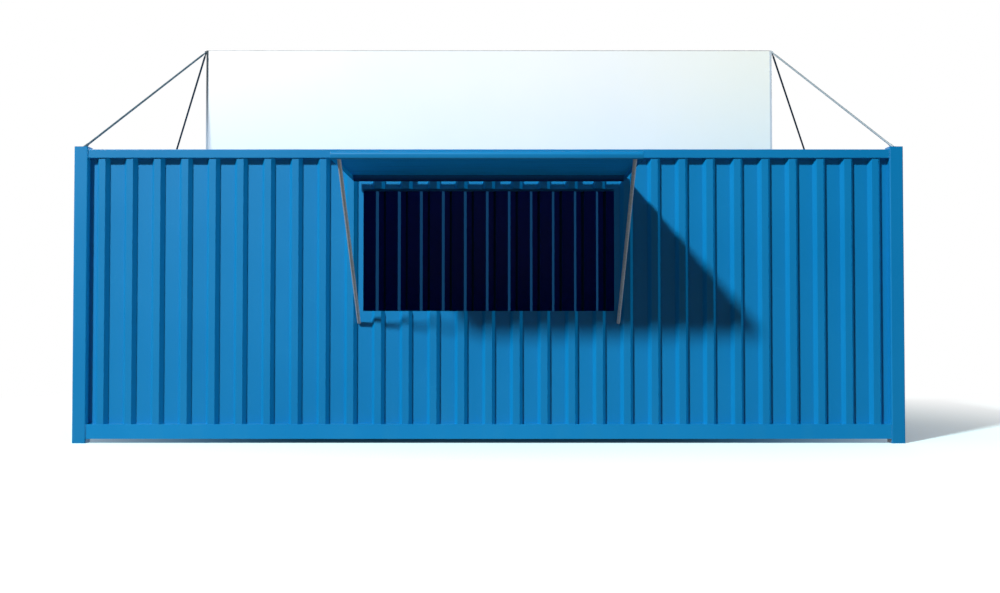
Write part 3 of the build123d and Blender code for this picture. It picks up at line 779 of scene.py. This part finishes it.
def makeDoorGear():
    look = gearLook
    bolts, catches = bmesh.new(), bmesh.new()
    near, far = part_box("front_right_post")[1].y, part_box("rear_right_post")[0].y
    frontLow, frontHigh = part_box("right_end_door_front")
    rearLow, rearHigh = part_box("right_end_door_rear")
    faceX = frontHigh.x
    tall = frontHigh.z - frontLow.z
    boltX = faceX + look["strapThick"]
    for postY, inward in ((near, 1), (far, -1)):
        for number in range(look["hinges"]):
            z = frontLow.z + tall * (number + 0.5) / look["hinges"]
            for reach in look["strapBolts"]:
                turned(bolts, domeHead(*look["strapHead"]), (boltX, postY + inward * reach, z), (1, 0, 0), steps=12)
    bars = []
    for leafLow, leafHigh in ((frontLow, frontHigh), (rearLow, rearHigh)):
        bars += [(leafLow.y + look["barInset"], 1), (leafHigh.y - look["barInset"], -1)]
    handleZ, half, skin = look["handleZ"], look["handleHalf"], look["gripSkin"]
    barX = faceX + look["barOut"]
    reachUp = look["handleTall"] + skin
    for barY, inward in bars:
        for share in look["brackets"]:
            z = frontLow.z + tall * share
            for side in (-1, 1):
                spot = (boltX, barY + side * look["bracketHalf"], z)
                turned(bolts, hexHead(*look["bracketHead"]), spot, (1, 0, 0), steps=6)
        # a sleeve on the handle's free end, and the plate and stub that hold it
        endY = barY + inward * (look["barRadius"] + look["handleLength"])
        ends = sorted((endY - inward * look["grip"], endY + inward * look["gripPast"]))
        strip(
            catches, (barX - half - skin, ends[0], handleZ - reachUp),
            (barX + half + skin, ends[1], handleZ + reachUp), look["gripEdge"],
        )
        start, end = sorted(endY - inward * reach for reach in look["plate"])
        strip(
            catches, (faceX + look["plateBack"], start, handleZ - look["plateTall"]),
            (faceX + look["plateThick"], end, handleZ + look["plateTall"]), look["plateEdge"],
        )
        strip(
            catches, (faceX + look["stubBack"], start + look["stubInset"], handleZ - look["stubTall"]),
            (barX - half - look["stubClear"], end - look["stubInset"], handleZ + look["stubTall"]), look["stubEdge"],
        )
        for side in (-1, 1):
            spot = (faceX + look["plateThick"], (start + end) / 2, handleZ + side * look["plateScrewRise"])
            turned(bolts, domeHead(*look["plateScrew"]), spot, (1, 0, 0), steps=10)
    addPiece("doorBolts", bolts, "container", "galvanised_steel")
    addPiece("handleCatches", catches, "container", "galvanised_steel")


makeDoorGear()
print("door gear made")

# The flap's tray with the rolled nose along its front edge
noseLook = {
    "nose": 0.034, "noseSteps": 10, "lip": 0.013, "lipSteps": 9, "lean": 0.011, "behind": 0.006,
    "skin": 0.003, "edge": 0.006, "edgeSteps": 3, "smooth": 12,
    "tiny": 1e-5, "short": 0.001, "square": 0.99, "panel": 0.02,
}


def makeFlapShell():
    look = noseLook
    tiny, square = look["tiny"], look["square"]
    low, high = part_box("hatch_flap")
    sill = hingePlace[2]
    cutY = low.y + look["nose"] + look["behind"]
    # the node's own mesh behind the cut
    back = bmesh.new()
    back.from_mesh(nodes["hatch_flap"].data)
    bmesh.ops.remove_doubles(back, verts=back.verts, dist=mergeGap)
    everything = back.verts[:] + back.edges[:] + back.faces[:]
    cut = bmesh.ops.bisect_plane(
        back, geom=everything, plane_co=(0, cutY, 0), plane_no=(0, -1, 0), clear_outer=True,
    )
    loop = [e for e in cut["geom_cut"] if isinstance(e, bmesh.types.BMEdge)]
    bmesh.ops.contextual_create(back, geom=loop)
    # a new front from the cut on, drawn in profile and pulled along the flap
    front = bmesh.new()
    lowerY = low.y + look["lean"]
    outline = [(cutY, high.z), (low.y, high.z), (lowerY, sill), (cutY, sill)]
    end = front.faces.new([front.verts.new((low.x, y, z)) for y, z in outline])
    grown = bmesh.ops.extrude_face_region(front, geom=[end])["geom"]
    corners = [v for v in grown if isinstance(v, bmesh.types.BMVert)]
    bmesh.ops.translate(front, verts=corners, vec=(high.x - low.x, 0, 0))
    bmesh.ops.recalc_face_normals(front, faces=front.faces)
    nose = (low.y, high.z, look["nose"], look["noseSteps"])
    lip = (lowerY, sill, look["lip"], look["lipSteps"])
    for y, z, radius, steps in (nose, lip):
        edge = [
            e for e in front.edges
            if all(abs(v.co.y - y) < tiny and abs(v.co.z - z) < tiny for v in e.verts)
        ]
        roundOff(front, edge, radius, steps)
    rims = []
    for edge in front.edges:
        first, second = (v.co for v in edge.verts)
        middle = (first + second) / 2
        level = abs(first.x - second.x) < tiny
        if level and middle.y < cutY - 10 * tiny and middle.z > sill + look["lip"]:
            rims.append(edge)
    roundOff(front, rims, look["edge"], look["edgeSteps"])
    # open behind and below, then given the sheet's thickness
    gone = [
        f for f in front.faces
        if f.normal.y > square or (f.normal.z < -square and f.calc_area() > look["panel"])
    ]
    bmesh.ops.delete(front, geom=gone, context="FACES")
    bmesh.ops.solidify(front, geom=front.faces[:], thickness=look["skin"])
    # the nose comes forward to the node's own front
    ahead = low.y - min(v.co.y for v in front.verts)
    leading = [v for v in front.verts if v.co.y < cutY - look["short"]]
    bmesh.ops.translate(front, verts=leading, vec=(0, ahead, 0))
    spare = bpy.data.meshes.new("spare")
    front.to_mesh(spare)
    front.free()
    back.from_mesh(spare)
    bpy.data.meshes.remove(spare)
    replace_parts(addPiece("flapShell", back, "hatch", "container_paint", smooth=look["smooth"]), "hatch_flap")


makeFlapShell()
print("flap shell made")

# Screws under the flap's liner, and the strip along the inside of its back rim, painted dark as painted shade
flapLook = {
    "rows": 3, "across": 9, "inset": 0.07, "skin": 0.003, "barrel": 0.010,
    "screw": [(0.0, 0.0004), (0.0022, 0.0004), (0.0026, 0.0012), (0.0062, 0.0012), (0.0068, 0.0), (0.0, -0.001)],
    "stripThick": 0.009, "stripLow": -0.012, "stripHigh": 0.043,
    "stripInset": 0.012, "stripClear": 0.0002, "stripEdge": 0.003,
}


def makeFlapFittings():
    look = flapLook
    bm = bmesh.new()
    low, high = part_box("hatch_liner")
    inset = look["inset"]
    for row in range(look["rows"]):
        y = low.y + inset + (high.y - low.y - 2 * inset) * row / (look["rows"] - 1)
        for number in range(look["across"]):
            x = low.x + inset + (high.x - low.x - 2 * inset) * (number + 0.5) / look["across"]
            turned(bm, look["screw"], (x, y, low.z), (0, 0, -1), steps=12)
    addPiece("linerScrews", bm, "hatch", "hatch_liner_paint", smooth=50)
    bm = bmesh.new()
    flapLow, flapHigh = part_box("hatch_flap")
    pivot = Vector(hingePlace)
    rimY = pivot.y - look["barrel"] - look["skin"]
    strip(
        bm, (flapLow.x + look["stripInset"], rimY - look["stripThick"], pivot.z + look["stripLow"]),
        (flapHigh.x - look["stripInset"], rimY - look["stripClear"], pivot.z + look["stripHigh"]), look["stripEdge"],
    )
    addPiece("flapSeal", bm, "hatch", "hatch_liner_paint", finish=makeSeal())


makeFlapFittings()
print("flap fittings made")
